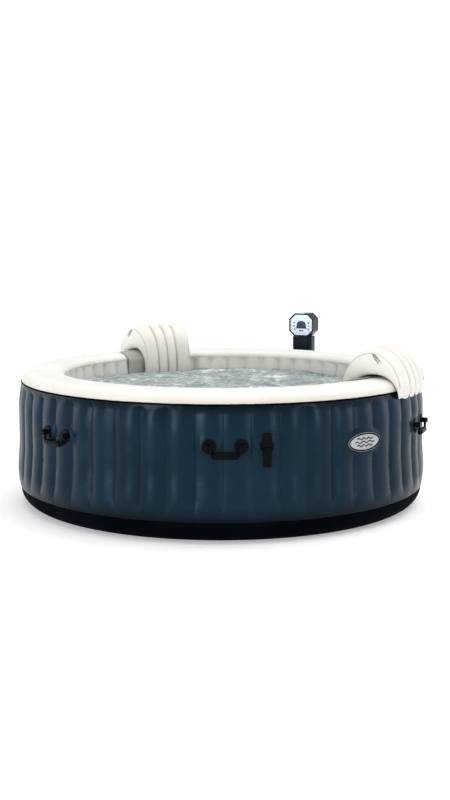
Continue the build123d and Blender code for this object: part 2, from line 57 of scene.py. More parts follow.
RIM_INNER = 0.836
RIM_INNER_Z = 0.667
INNER_R = 0.8255
FLOOR_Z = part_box("floor_liner")[1].z
PLEATS = 51
PLEAT_FIRST = 0.6
WATER_Z = 0.598

HANDLE_AZIMUTHS = (1.0, 69.5, 121.0, 190.0, 241.0, 312.5)
BUCKLE_AZIMUTHS = (11.2, 131.2, 251.2)
HARDWARE_Z = 0.46
SLEEVE_LENGTH = 0.100
SLEEVE_R = 0.0141
SLEEVE_BORE = 0.0119
BADGE_AZIMUTH = 39.1
BADGE_Z = 0.44


HEADRESTS = (
    ("headrest_right", 62.5, 20.0, 0.009, (0.25, 0.5, 0.75)),
    ("headrest_left", -155.6, 21.0, 0.018, (0.25, 0.5, 0.77)),
)


# ------------------------------------------------------------------ small helpers

def smooth(value):
    """0 below 0, 1 above 1, an S curve between."""
    value = min(1.0, max(0.0, value))
    return value * value * (3 - 2 * value)


def spread(count, seed, low, high):
    """A repeatable list of random numbers."""
    draw = random.Random(seed)
    return [draw.uniform(low, high) for _ in range(count)]


def at(azimuth, radius, height):
    turn = math.radians(azimuth)
    return Vector((radius * math.sin(turn), -radius * math.cos(turn), height))


def frame_at(azimuth, radius=0.0, height=0.0):
    """Local frame on the tub: x along the wall, y outwards, z up."""
    turn = Matrix.Rotation(math.radians(azimuth + 180), 4, "Z")
    return Matrix.Translation(at(azimuth, radius, height)) @ turn


def new_object(name, mesh):
    made = bpy.data.objects.new(name, mesh)
    bpy.context.scene.collection.objects.link(made)
    return made


def mesh_from(name, points, faces, sharp_angle=None):
    mesh = bpy.data.meshes.new(name)
    mesh.from_pydata([tuple(point) for point in points], [], faces)
    mesh.validate()
    bm = bmesh.new()
    bm.from_mesh(mesh)
    bmesh.ops.recalc_face_normals(bm, faces=bm.faces)
    bm.to_mesh(mesh)
    bm.free()
    mesh.polygons.foreach_set("use_smooth", [True] * len(mesh.polygons))
    made = new_object(name, mesh)
    if sharp_angle is not None:
        mesh.set_sharp_from_angle(angle=math.radians(sharp_angle))
    return made


def ring_mesh(name, rows, columns, place, sharp_angle=None):
    """Closed skin turned about the tub's axis: rows is a loop of (radius, height, data)."""
    points = []
    starts = []
    for row in rows:
        starts.append(len(points))
        if row[0] < 1e-6:
            points.append(Vector((0, 0, row[1])))
            continue
        for turn in columns:
            points.append(place(turn, *row))
    count = len(columns)
    faces = []
    for index in range(len(rows)):
        after = (index + 1) % len(rows)
        a, b = starts[index], starts[after]
        a_pole = rows[index][0] < 1e-6
        b_pole = rows[after][0] < 1e-6
        if a_pole and b_pole:
            continue
        for k in range(count):
            n = (k + 1) % count
            if a_pole:
                faces.append((a, b + n, b + k))
            elif b_pole:
                faces.append((a + k, a + n, b))
            else:
                faces.append((a + k, a + n, b + n, b + k))
    return mesh_from(name, points, faces, sharp_angle)


def add_piece(piece, body, material=None, replaces=()):
    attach(piece, body)
    if replaces:
        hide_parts(*replaces)
    if material is not None:
        piece.data.materials.clear()
        piece.data.materials.append(material)
    return piece


# ------------------------------------------------------------------ materials

def new_material(name):
    material = bpy.data.materials.new(name)
    material.use_nodes = True
    tree = material.node_tree
    tree.nodes.clear()
    out = tree.nodes.new("ShaderNodeOutputMaterial")
    shader = tree.nodes.new("ShaderNodeBsdfPrincipled")
    tree.links.new(shader.outputs[0], out.inputs[0])
    return material, tree, shader


def noise_node(tree, scale, detail=3.0, rough=0.5, stretch=(1, 1, 1)):
    place = tree.nodes.new("ShaderNodeTexCoord")
    mapping = tree.nodes.new("ShaderNodeMapping")
    mapping.inputs["Scale"].default_value = stretch
    node = tree.nodes.new("ShaderNodeTexNoise")
    node.inputs["Scale"].default_value = scale
    node.inputs["Detail"].default_value = detail
    node.inputs["Roughness"].default_value = rough
    tree.links.new(place.outputs["Object"], mapping.inputs["Vector"])
    tree.links.new(mapping.outputs[0], node.inputs["Vector"])
    return node


def ramp_node(tree, source, stops):
    ramp = tree.nodes.new("ShaderNodeValToRGB")
    elements = ramp.color_ramp.elements
    while len(elements) < len(stops):
        elements.new(0.5)
    for element, (place, colour) in zip(elements, stops):
        element.position = place
        element.color = (*colour, 1.0)
    tree.links.new(source, ramp.inputs["Fac"])
    return ramp


def grey(value):
    return (value, value, value)


def bump_chain(tree, shader, layers):
    """Bump layers (height socket, strength, distance) stacked on one normal."""
    last = None
    for socket, strength, distance in layers:
        bump = tree.nodes.new("ShaderNodeBump")
        bump.inputs["Strength"].default_value = strength
        bump.inputs["Distance"].default_value = distance
        tree.links.new(socket, bump.inputs["Height"])
        if last is not None:
            tree.links.new(last.outputs[0], bump.inputs["Normal"])
        last = bump
    tree.links.new(last.outputs[0], shader.inputs["Normal"])


def painted_height_shade(tree, colour, stops):
    """Multiplies a colour by a tone that depends on the height above the ground: painted shade and light, set
    by height.
    """
    place = tree.nodes.new("ShaderNodeTexCoord")
    split = tree.nodes.new("ShaderNodeSeparateXYZ")
    tree.links.new(place.outputs["Object"], split.inputs[0])
    ramp = ramp_node(tree, split.outputs["Z"], stops)
    mix = tree.nodes.new("ShaderNodeMix")
    mix.data_type = "RGBA"
    mix.blend_type = "MULTIPLY"
    mix.inputs[0].default_value = 1.0
    tree.links.new(colour, mix.inputs[6])
    tree.links.new(ramp.outputs[0], mix.inputs[7])
    return mix.outputs[2]


def vinyl(name, dark, light, rough=(0.32, 0.46), grain=0.25, gloss=0.3, tint=(1, 1, 1), shade_by_height=None):
    """Laminated vinyl sheet: uneven tone, a fine knit showing through, soft dents."""
    material, tree, shader = new_material(name)
    tone = noise_node(tree, 3.5, 4, 0.55)
    colour = ramp_node(tree, tone.outputs["Fac"], [(0.3, dark), (0.7, light)]).outputs[0]
    # painted shade and light by height, where given
    if shade_by_height:
        colour = painted_height_shade(tree, colour, shade_by_height)
    tree.links.new(colour, shader.inputs["Base Color"])
    patchy = noise_node(tree, 9, 3, 0.5)
    roughness = ramp_node(tree, patchy.outputs["Fac"], [(0.3, grey(rough[0])), (0.75, grey(rough[1]))])
    tree.links.new(roughness.outputs[0], shader.inputs["Roughness"])
    shader.inputs["Specular IOR Level"].default_value = gloss
    shader.inputs["Specular Tint"].default_value = (*tint, 1.0)
    fine = noise_node(tree, 900, 2, 0.6)
    broad = noise_node(tree, 22, 3, 0.5)
    bump_chain(tree, shader, [
        (broad.outputs["Fac"], 0.09, 0.01),
        (fine.outputs["Fac"], grain, 0.0006),
    ])
    return material


def moulded(name, dark, light, rough=(0.38, 0.55), grain=0.35, grain_scale=700, metallic=0.0, gloss=0.25):
    """Injection-moulded plastic with a spark-eroded grain and faint handling marks."""
    material, tree, shader = new_material(name)
    tone = noise_node(tree, 14, 3, 0.5)
    colour = ramp_node(tree, tone.outputs["Fac"], [(0.35, dark), (0.7, light)])
    tree.links.new(colour.outputs[0], shader.inputs["Base Color"])
    marks = noise_node(tree, 40, 4, 0.6)
    roughness = ramp_node(tree, marks.outputs["Fac"], [(0.35, grey(rough[0])), (0.7, grey(rough[1]))])
    tree.links.new(roughness.outputs[0], shader.inputs["Roughness"])
    shader.inputs["Metallic"].default_value = metallic
    shader.inputs["Specular IOR Level"].default_value = gloss
    fine = noise_node(tree, grain_scale, 2, 0.5)
    bump_chain(tree, shader, [(fine.outputs["Fac"], grain, 0.0004)])
    return material


def water_material():
    """Churned water: grey-green body with streaks and patches of white foam."""
    material, tree, shader = new_material("churned_water")
    warp = noise_node(tree, 3.0, 5, 0.6)
    cells = noise_node(tree, 9.0, 6, 0.68)
    cells.inputs["Distortion"].default_value = 1.6
    mixed = tree.nodes.new("ShaderNodeMath")
    mixed.operation = "MULTIPLY_ADD"
    mixed.inputs[1].default_value = 0.35
    tree.links.new(warp.outputs["Fac"], mixed.inputs[0])
    scaled = tree.nodes.new("ShaderNodeMath")
    scaled.operation = "MULTIPLY"
    scaled.inputs[1].default_value = 0.65
    tree.links.new(cells.outputs["Fac"], scaled.inputs[0])
    tree.links.new(scaled.outputs[0], mixed.inputs[2])
    colour = ramp_node(tree, mixed.outputs[0], [
        (0.36, (0.15, 0.19, 0.19)),
        (0.46, (0.29, 0.35, 0.35)),
        (0.54, (0.44, 0.50, 0.49)),
        (0.61, (0.82, 0.86, 0.85)),
    ])
    tree.links.new(colour.outputs[0], shader.inputs["Base Color"])
    roughness = ramp_node(tree, mixed.outputs[0], [(0.45, grey(0.08)), (0.62, grey(0.5))])
    tree.links.new(roughness.outputs[0], shader.inputs["Roughness"])
    shader.inputs["IOR"].default_value = 1.33
    ripples = noise_node(tree, 55, 4, 0.6)
    bubbles = noise_node(tree, 240, 2, 0.6)
    bump_chain(tree, shader, [
        (ripples.outputs["Fac"], 0.5, 0.01),
        (bubbles.outputs["Fac"], 0.35, 0.002),
    ])
    return material


# Painted shade on the navy wall: near black at the foot, where it rounds under onto the floor, and a dark
# strip under the rim's overhang.
NAVY_PAINTED_SHADE = [
    (0.106, grey(0.08)), (0.130, grey(0.55)), (0.175, grey(1.0)), (0.600, grey(1.0)), (0.630, grey(0.22)),
]
# Painted shade on the white rim: the low part of the roll is greyed cream, the top stays white.
RIM_PAINTED_SHADE = [(0.652, (0.66, 0.64, 0.58)), (0.674, (0.82, 0.80, 0.75)), (0.700, grey(1.0))]
# Painted shade and light on the headrests: darker low down, lighter than the base colour at the top.
PAD_PAINTED_SHADE_AND_LIGHT = [(0.60, grey(0.80)), (0.74, grey(0.90)), (0.845, grey(1.08))]
NAVY = vinyl("navy_vinyl", (0.0025, 0.0105, 0.019), (0.0055, 0.0165, 0.028), (0.24, 0.36), 0.2, 0.13,
             (0.5, 0.75, 1.0), NAVY_PAINTED_SHADE)
# Black sheet: the seam piping's own dark colour, and on the base band painted shade where the wall rounds
# under onto the floor.
BLACK_SHEET_AND_FOOT_SHADE = vinyl("black_vinyl_and_foot_shade", (0.0006, 0.0010, 0.002), (0.0012, 0.0020, 0.004), (0.6, 0.75), 0.25, 0.01)
WHITE = vinyl("white_vinyl", (0.82, 0.80, 0.76), (0.88, 0.87, 0.84), (0.36, 0.52), 0.2, 0.3,
              (1, 1, 1), RIM_PAINTED_SHADE)
INNER = vinyl("inner_vinyl", (0.60, 0.575, 0.54), (0.72, 0.70, 0.665), (0.35, 0.5), 0.25, 0.3)
PAD = vinyl("pad_vinyl", (0.74, 0.71, 0.65), (0.82, 0.795, 0.74), (0.4, 0.55), 0.3, 0.3, (1, 1, 1), PAD_PAINTED_SHADE_AND_LIGHT)
BEAD = vinyl("bead_vinyl", (0.50, 0.495, 0.475), (0.58, 0.575, 0.555), (0.4, 0.5), 0.3, 0.3)
VALVE = vinyl("valve_vinyl", (0.20, 0.19, 0.165), (0.28, 0.265, 0.235), (0.4, 0.5), 0.3, 0.3)
# Grey of the sheet under each headrest arch: painted shade.
SHADE_SHEET = vinyl("shade_sheet_vinyl", (0.34, 0.34, 0.31), (0.42, 0.42, 0.385), (0.45, 0.6), 0.4, 0.25)
BLACK = moulded("black_plastic", (0.0004, 0.0010, 0.002), (0.0012, 0.0024, 0.004), (0.28, 0.38), gloss=0.06)
NECK = moulded("neck_plastic", (0.001, 0.006, 0.012), (0.003, 0.012, 0.021), (0.25, 0.35), gloss=0.09)
GREY = moulded("grey_plastic", (0.16, 0.17, 0.18), (0.24, 0.25, 0.26))
PALE = moulded("pale_plastic", (0.62, 0.62, 0.6), (0.75, 0.75, 0.73))
SILVER = moulded("silver_face", (0.40, 0.46, 0.55), (0.48, 0.54, 0.63), (0.25, 0.35), 0.15, 900, 0.35)
BADGE = moulded("badge_silver", (0.33, 0.34, 0.35), (0.43, 0.44, 0.45), (0.3, 0.42), 0.15, 900, 0.4)
SCREEN = moulded("screen_glass", (0.018, 0.036, 0.062), (0.03, 0.056, 0.09), (0.08, 0.14), 0.02)
RUBBER = moulded("rubber", (0.008, 0.008, 0.008), (0.014, 0.014, 0.014), (0.6, 0.75), 0.5, 500)
STEEL = moulded("steel", (0.45, 0.45, 0.45), (0.6, 0.6, 0.6), (0.22, 0.35), 0.2, 300, 1.0)
HOSE = moulded("hose_plastic", (0.10, 0.11, 0.13), (0.15, 0.16, 0.18), (0.25, 0.35))
BOARD = moulded("board_green", (0.008, 0.05, 0.02), (0.012, 0.08, 0.03), (0.3, 0.4))
PAPER = moulded("filter_paper", (0.6, 0.66, 0.72), (0.72, 0.77, 0.82), (0.7, 0.85), 0.6, 400)
CLOTH = moulded("web_cloth", (0.5, 0.5, 0.48), (0.6, 0.6, 0.58), (0.6, 0.8), 0.6, 250)
DARK_BUTTON = moulded("dark_button", (0.03, 0.045, 0.065), (0.05, 0.065, 0.09), (0.3, 0.4))
WATER = water_material()

SLOT_LOOKS = {
    "navy_sheet": NAVY, "black_sheet": BLACK_SHEET_AND_FOOT_SHADE, "white_sheet": WHITE, "inner_sheet": INNER,
    "web_cloth": CLOTH, "pad_sheet": PAD, "black_plastic": BLACK, "badge_metal": BADGE,
    "grey_plastic": GREY, "white_plastic": PALE, "hose_plastic": HOSE, "seal_rubber": RUBBER,
    "filter_paper": PAPER, "panel_silver": SILVER, "screen_glass": SCREEN, "steel": STEEL, "board": BOARD,
}


def dress_nodes():
    """Every CAD node gets its slot's material."""
    slots = {row["node"]: row["material_slot"] for row in frame["record"]["subparts"]}
    for name, node in frame["nodes"].items():
        material = SLOT_LOOKS[slots[name]]
        if name in ("button_up", "button_down"):
            material = DARK_BUTTON
        if name in ("neck", "head_housing", "head_bezel"):
            material = NECK
        for slot in node.material_slots:
            slot.material = material
        if not node.material_slots:
            node.data.materials.append(material)


# ------------------------------------------------------------------ quilted walls

PLEAT_STEPS = (0.0, 0.012, 0.03, 0.06, 0.11, 0.18, 0.27, 0.38, 0.5, 0.62, 0.73, 0.82, 0.89, 0.94, 0.97, 0.988)
PUFF = spread(PLEATS, 7, 0.82, 1.16)
LEAN = spread(PLEATS, 11, -0.12, 0.12)
RIPPLE = spread(PLEATS, 13, 0.0, 6.28)


def pleat_columns():
    pitch = 360.0 / PLEATS
    turns = []
    for index in range(PLEATS):
        turns += [PLEAT_FIRST + (index + step) * pitch for step in PLEAT_STEPS]
    return turns


COLUMNS = pleat_columns()


def pleat(turn):
    """Which pleat, how far across it (0 to 1), and how puffed it is there (0 at a seam)."""
    place = ((turn - PLEAT_FIRST) * PLEATS / 360.0) % PLEATS
    index = int(place)
    across = place - index
    side = abs(2 * across - 1 + LEAN[index] * 4 * across * (1 - across))
    return index, across, max(0.0, 1 - side**2.0)


def hardware_hold(turn, height):
    """1 under a welded patch or the badge, where the wall is pulled smooth, else 0."""
    hold = 0.0
    for azimuth in HANDLE_AZIMUTHS:
        for side in (-1, 1):
            gap = (turn - azimuth - side * 3.93 + 180) % 360 - 180
            away = math.hypot(math.radians(gap) * OUTER_R, height - HARDWARE_Z)
            hold = max(hold, smooth((0.062 - away) / 0.03))
    for azimuth in BUCKLE_AZIMUTHS:
        gap = (turn - azimuth + 180) % 360 - 180
        away = math.hypot(math.radians(gap) * OUTER_R, height - HARDWARE_Z)
        hold = max(hold, smooth((0.062 - away) / 0.03))
    gap = (turn - BADGE_AZIMUTH + 180) % 360 - 180
    away = math.hypot(math.radians(gap) * OUTER_R / 1.15, (height - BADGE_Z) / 0.62)
    return max(hold, smooth((0.125 - away) / 0.035))


def wall_radius(height):
    lean = smooth((height - 0.50) / 0.30) * 2.0
    tuck = max(0.0, (0.19 - height) / 0.0865)
    belly = 0.0100 * smooth((0.35 - height) / 0.17)
    return OUTER_R + belly - 0.0178 * min(1.0, lean * 1.02) ** 1.15 - 0.0100 * tuck**2


def wall_place(turn, _radius, height, inset):
    index, across, puff = pleat(turn)
    grow = smooth((0.638 - height) / 0.030) * smooth((height - 0.108) / 0.105)
    depth = 0.0135 * PUFF[index] * (1 - puff) * grow
    depth += 0.0016 * grow * (1.0 if across in (0.0,) else 0.0)
    hold = hardware_hold(turn, height)
    reach = wall_radius(height)
    depth = depth * (1 - hold) + max(0.0, reach - OUTER_R) * hold
    top = smooth(1 - abs(height - 0.628) / 0.026)
    foot = smooth(1 - abs(height - 0.122) / 0.028)
    pucker = math.sin(across * 57 + RIPPLE[index]) * math.sin(across * math.pi) ** 0.5
    pucker *= 0.0014 * top + 0.0006 * foot
    swell = noise.noise(at(turn, 3.2, height * 2.4)) * 0.0012 * grow
    return at(turn, reach - 0.0008 - depth + pucker - max(0.0, swell) - inset, height)


def heights(low, high, fine_low, fine_high, steps):
    """Row heights, closer together near both ends."""
    spots = []
    for index in range(steps + 1):
        share = index / steps
        eased = smooth(share) * 0.45 + share * 0.55
        spots.append(low + (high - low) * eased)
    return [low, low + fine_low] + spots[1:-1] + [high - fine_high, high]


def build_outer_wall():
    levels = heights(0.1045, 0.6465, 0.003, 0.003, 46)
    rows = [(1.0, z, 0.0) for z in levels]
    rows += [(1.0, z, 0.0022) for z in reversed(levels[::3])]
    wall = ring_mesh("wall_quilt", rows, COLUMNS, wall_place)
    return add_piece(wall, "tub", NAVY, ("outer_wall",))


def inner_radius(height):
    return INNER_R + 0.0105 * smooth((height - 0.60) / 0.075)


def inner_place(turn, _radius, height, inset):
    index, _, puff = pleat(turn)
    grow = smooth((0.668 - height) / 0.022) * smooth((height - 0.012) / 0.05)
    depth = 0.0165 * PUFF[(index * 7) % PLEATS] * (1 - puff) * grow
    return at(turn, inner_radius(height) + depth + inset, height)


def build_inner_wall():
    levels = heights(0.0125, 0.6655, 0.003, 0.002, 34)
    rows = [(1.0, z, 0.0) for z in levels]
    rows += [(1.0, z, 0.0022) for z in reversed(levels[::3])]
    wall = ring_mesh("inner_quilt", rows, COLUMNS, inner_place)
    return add_piece(wall, "tub", INNER, ("inner_wall",))


def build_beams():
    """Thin webs welded between the inner and outer walls at every seam."""
    levels = [0.17 + 0.425 * k / 16 for k in range(17)]
    points = []
    faces = []
    for index in range(PLEATS):
        turn = PLEAT_FIRST + index * 360.0 / PLEATS
        start = len(points)
        for side in (-0.03, 0.03):
            for z in levels:
                inside = inner_place(turn, 1.0, z, 0.0026)
                outside = wall_place(turn, 1.0, z, 0.0065)
                middle = (inside + outside) / 2
                for spot in (inside, middle, outside):
                    flat = math.hypot(spot.x, spot.y)
                    sag = 0.25 * math.sin(z * 26) if spot is middle else 0.0
                    points.append(at(turn + side + sag, flat, z))
        rows = len(levels)
        for side in range(2):
            for row in range(rows - 1):
                for k in range(2):
                    a = start + (side * rows + row) * 3 + k
                    faces.append((a, a + 1, a + 4, a + 3))
        offset = rows * 3
        for row in range(rows - 1):
            for k in (0, 2):
                a = start + row * 3 + k
                faces.append((a, a + 3, a + 3 + offset, a + offset))
        for row in (0, rows - 1):
            for k in range(2):
                a = start + row * 3 + k
                faces.append((a, a + 1, a + 1 + offset, a + offset))
    beams = mesh_from("wall_webs", points, faces)
    return add_piece(beams, "tub", CLOTH, ("wall_beams",))


RIM_MID = (SEAM_R + RIM_INNER) / 2
RIM_HALF = (SEAM_R - RIM_INNER) / 2
RIM_POWER = 2 / 2.3


def rim_point(share):
    """Point on the rim's dome: share runs from the outer seam to the inner edge."""
    turn = math.pi * share
    flat = abs(math.cos(turn)) ** RIM_POWER * (1 if math.cos(turn) > 0 else -1)
    up = math.sin(turn) ** RIM_POWER
    foot = (SEAM_Z + 0.002) * (1 - share) + RIM_INNER_Z * share
    return RIM_MID + RIM_HALF * flat, foot + (RIM_TOP - 0.0006 - foot) * up


def rim_place(turn, radius, height, data):
    share, inset = data
    index, across, puff = pleat(turn)
    edge = smooth(1 - share / 0.14) + smooth((share - 0.86) / 0.14)
    wrinkle = math.sin(across * 25 + RIPPLE[index]) * 0.0009 * edge
    gather = 0.0030 * (1 - puff) * smooth((share - 0.8) / 0.2)
    broad = noise.noise(at(turn, 2.6, share * 0.8)) * 0.0016 * math.sin(math.pi * share)
    drop = 0.0025 * (1 - puff) * smooth(1 - share / 0.3) * math.sin(math.pi * min(1, share * 3))
    return at(turn, radius + gather + wrinkle * 0.6, height + wrinkle - abs(broad) - drop - inset)


def build_rim():
    shares = [smooth(k / 30) * 0.25 + (k / 30) * 0.75 for k in range(31)]
    rows = []
    for share in shares:
        radius, height = rim_point(share)
        rows.append((radius, height, (share, 0.0)))
    for share in reversed(shares[::2]):
        radius, height = rim_point(share)
        towards = 1 if radius > RIM_MID else -1
        rows.append((radius - towards * 0.002, height, (share, 0.0022)))
    rim = ring_mesh("rim_cushion", rows, COLUMNS[::2], rim_place)
    return add_piece(rim, "tub", WHITE, ("top_rim",))


def base_profile():
    """Band and underside: from the seam, round the foot to the middle of the floor."""
    spots = [(BAND_R, 0.1020), (BAND_R - 0.0004, 0.098)]
    corner_r, corner_z, reach, drop = 0.978, 0.0900, 0.0970, 0.0898
    for index in range(15):
        turn = math.pi / 2 * index / 14
        spots.append((corner_r + reach * math.cos(turn), corner_z - drop * math.sin(turn)))
    return spots + [(0.9, 0.0002), (0.6, 0.0002), (0.3, 0.0002), (0.0, 0.0002)]


def base_place(turn, radius, height, inset):
    index, across, _ = pleat(turn)
    near = smooth((height - 0.02) / 0.05) * smooth((0.105 - height) / 0.012)
    crease = math.sin(across * 19 + RIPPLE[index]) * 0.0007 * near
    return at(turn, radius - inset * near + crease - 0.001 * near, height + inset)


def build_base():
    outline = base_profile()
    rows = [(radius, height, 0.0) for radius, height in outline]
    rows += [(radius, height, 0.0022) for radius, height in reversed(outline)]
    # The band's black is painted shade: the shadow where the wall turns under onto the floor.
    skin = ring_mesh("base_pan", rows, COLUMNS[::2], base_place)
    return add_piece(skin, "tub", BLACK_SHEET_AND_FOOT_SHADE, ("base_skin",))


def tube_rows(radius, height, thick_r, thick_z, count=10):
    rows = []
    for index in range(count):
        turn = 2 * math.pi * index / count
        rows.append((radius + thick_r * math.cos(turn), height + thick_z * math.sin(turn), turn))
    return rows


def build_seams():
    """Welded piping at the rim seam and over the band seam."""
    def piping_place(turn, radius, height, _side):
        index, across, _ = pleat(turn)
        wobble = math.sin(across * 31 + RIPPLE[index]) * 0.0004
        return at(turn, radius + wobble, height + wobble)

    top_rows = tube_rows(SEAM_R - 0.0012, SEAM_Z - 0.0035, 0.0046, 0.0042)
    foot_rows = tube_rows(BAND_R - 0.0012, BAND_Z, 0.0028, 0.0022)
    top = ring_mesh("rim_piping", top_rows, COLUMNS[::2], piping_place)
    foot = ring_mesh("band_piping", foot_rows, COLUMNS[::2], piping_place)
    add_piece(top, "tub", BLACK_SHEET_AND_FOOT_SHADE, ("seam_welts",))
    add_piece(foot, "tub", BLACK_SHEET_AND_FOOT_SHADE, ("seam_welts",))


def build_floor_liner():
    """Floor of welded concentric air coils."""
    radii = [0.0]
    coils = 16
    steps = 6
    for index in range(coils * steps):
        radii.append(0.815 * (index + 1) / (coils * steps))
    rows = []
    for radius in radii:
        share = radius / 0.815 * coils % 1.0
        puff = 1 - abs(2 * share - 1) ** 2.2
        rows.append((radius, FLOOR_Z - 0.0045 + 0.004 * puff, 0))
    rows.append((0.818, FLOOR_Z - 0.0055, 0))
    rows += [(0.5, FLOOR_Z - 0.0058, 0), (0.0, FLOOR_Z - 0.0058, 0)]

    def place(turn, radius, height, _data):
        return at(turn, radius, height)

    liner = ring_mesh("floor_coils", rows, [k * 3.0 for k in range(120)], place)
    return add_piece(liner, "tub", INNER, ("floor_liner",))


# ------------------------------------------------------------------ water

def water_height(x, y):
    spot = Vector((x * 4.0, y * 4.0, 0.3))
    broad = noise.noise(spot) * 0.010
    mid = noise.noise(spot * 2.7 + Vector((5, 1, 2))) * 0.009
    small = noise.noise(spot * 7.0 + Vector((1, 9, 4))) * 0.0055
    fine = noise.noise(spot * 17.0 + Vector((3, 2, 8))) * 0.0022
    chop = abs(noise.noise(spot * 4.4 + Vector((7, 7, 1)))) * -0.010
    return broad + mid + small + fine + chop


def build_water():
    """The filled tub's churned surface, as a closed slab that meets the inner wall."""
    columns = COLUMNS[::2]
    rings = 150
    rows = [(0.0, WATER_Z + water_height(0, 0), 0.0)]
    for index in range(1, rings + 1):
        rows.append((1.0, WATER_Z, index / rings))
    rows.append((1.0, WATER_Z - 0.05, 1.0))
    rows.append((0.0, WATER_Z - 0.05, 0.0))

    def place(turn, _radius, height, share):
        edge = inner_place(turn, 1.0, WATER_Z, 0.0)
        spot = Vector((edge.x * share * 0.9995, edge.y * share * 0.9995, height))
        if height > WATER_Z - 0.01:
            spot.z += water_height(spot.x, spot.y)
        return spot

    water = ring_mesh("churned_water", rows, columns, place)
    return add_piece(water, "tub", WATER)


# ------------------------------------------------------------------ headrests

def arch_section(lift):
    """Crescent outline of the saddle: outer and inner points, paired along the arch."""
    outer = []
    inner = []
    crown = 0.228 + lift
    for index in range(5):
        share = index / 5
        outer.append((0.7472, 0.575 + 0.045 * share))
        inner.append((0.8000, 0.575 + 0.045 * share))
    steps = 40
    for index in range(steps + 1):
        turn = math.pi * (1 - index / steps)
        outer.append((0.925 + 0.178 * math.cos(turn), 0.620 + crown * math.sin(turn) ** 0.94))
        inner.append((0.938 + 0.138 * math.cos(turn), 0.620 + 0.106 * math.sin(turn)))
    return outer, inner


def tip_round(share, start, end):
    """Thickness factor that rounds both tips of the crescent."""
    low = min(1.0, share / start)
    high = min(1.0, (1 - share) / end)
    return math.sqrt(max(0.0, 1 - (1 - low) ** 2)) * math.sqrt(max(0.0, 1 - (1 - high) ** 2))


def lobe_height(across, edges):
    for low, high in zip(edges, edges[1:]):
        if low <= across <= high:
            return 1 - abs(2 * (across - low) / (high - low) - 1) ** 2.2
    return 0.0


def pad_slices(bulge_steps, middles):
    """Stations across the pad: (share across, thickness, how far out the end cap has grown)."""
    caps = []
    for index in range(bulge_steps):
        turn = math.pi / 2 * (index + 0.35) / bulge_steps
        caps.append((math.sin(turn) ** 0.62, 1 - math.cos(turn)))
    slices = [(0.0, thick, grow) for thick, grow in caps]
    slices += [(index / middles, 1.0, 1.0) for index in range(middles + 1)]
    slices += [(1.0, thick, grow) for thick, grow in reversed(caps)]
    return slices


def pad_ring(outer, inner, turn, thick, groove, lobe):
    """Closed ring of points round the crescent at one station across the pad."""
    dent = 0.026 * groove + 0.016 * (1 - lobe)
    ring_out = []
    ring_in = []
    for k, ((ro, zo), (ri, zi)) in enumerate(zip(outer, inner)):
        share = k / (len(outer) - 1)
        middle = ((ro + ri) / 2, (zo + zi) / 2)
        fat = thick * tip_round(share, 0.04, 0.12)
        reach = 1.0 - dent / max(0.05, math.hypot(ro - ri, zo - zi)) * 1.1
        wave = noise.noise(Vector((ro * 9, turn * 0.16, zo * 9))) * 0.004
        tip = 0.018 * (groove - 0.4 * lobe) * smooth((share - 0.9) / 0.1)
        out = (middle[0] + (ro - middle[0]) * fat * reach + wave * fat * 0.4,
               middle[1] + (zo - middle[1]) * fat * reach + tip - abs(wave) * fat)
        inn = (middle[0] + (ri - middle[0]) * fat, middle[1] + (zi - middle[1]) * fat + tip)
        ring_out.append(at(turn, *out))
        ring_in.append(at(turn, *inn))
    return ring_out + ring_in[::-1]


def build_headrest(name, azimuth, width, lift, grooves):
    """Puffed saddle pad with welded channels that run over the arch."""
    outer, inner = arch_section(lift)
    count = len(outer)
    half = width / 2
    bulge = 2.1
    edges = (0.0,) + grooves + (1.0,)
    slices = pad_slices(10, 96)
    points = []
    loop = 2 * count
    for across, thick, grow in slices:
        turn = azimuth - half + bulge + (width - 2 * bulge) * across
        if thick < 1.0:
            side = -1 if across < 0.5 else 1
            turn += side * bulge * (1 - grow)
        groove = sum(math.exp(-((across - spot) / 0.021) ** 2) for spot in grooves)
        lobe = lobe_height(across, edges) if thick == 1.0 else 0.0
        points += pad_ring(outer, inner, turn, thick, groove, lobe)
    faces = []
    for row in range(len(slices) - 1):
        for k in range(loop):
            n = (k + 1) % loop
            faces.append((row * loop + k, row * loop + n, (row + 1) * loop + n, (row + 1) * loop + k))
    last = (len(slices) - 1) * loop
    for start in (0, last):
        for k in range(count - 1):
            faces.append((start + k, start + k + 1, start + loop - 2 - k, start + loop - 1 - k))
    pad = mesh_from(name + "_pad", points, faces)
    smoother = pad.modifiers.new("smooth", "SUBSURF")
    smoother.levels = 1
    smoother.render_levels = 1
    add_piece(pad, name, PAD, (name,))
    return pad


def tube_along(name, path, radius, around_count=8):
    """Closed round bead along a list of points."""
    points = []
    faces = []
    for index, spot in enumerate(path):
        before = path[max(0, index - 1)]
        after = path[min(len(path) - 1, index + 1)]
        along = (after - before).normalized()
        side = along.orthogonal() if index == 0 else (side - along * side.dot(along))
        side.normalize()
        up = along.cross(side)
        for k in range(around_count):
            turn = 2 * math.pi * k / around_count
            points.append(spot + (side * math.cos(turn) + up * math.sin(turn)) * radius)
    for row in range(len(path) - 1):
        for k in range(around_count):
            n = (k + 1) % around_count
            a = row * around_count
            faces.append((a + k, a + n, a + around_count + n, a + around_count + k))
    faces.append(tuple(range(around_count)))
    faces.append(tuple(range(len(points) - around_count, len(points))))
    return mesh_from(name, points, faces)


def build_headrest_piping(name, azimuth, width, lift):
    """Weld bead that follows the arch round both ends of the pad."""
    outer, inner = arch_section(lift)
    for side, tag in ((-1, "a"), (1, "b")):
        path = []
        for k in range(8, len(outer) - 3):
            (ro, zo), (ri, zi) = outer[k], inner[k]
            mix = 0.80
            path.append(at(azimuth + side * (width / 2 - 0.45), ri + (ro - ri) * mix, zi + (zo - zi) * mix))
        bead = tube_along(f"{name}_bead_{tag}", path, 0.0026)
        add_piece(bead, name, BEAD)


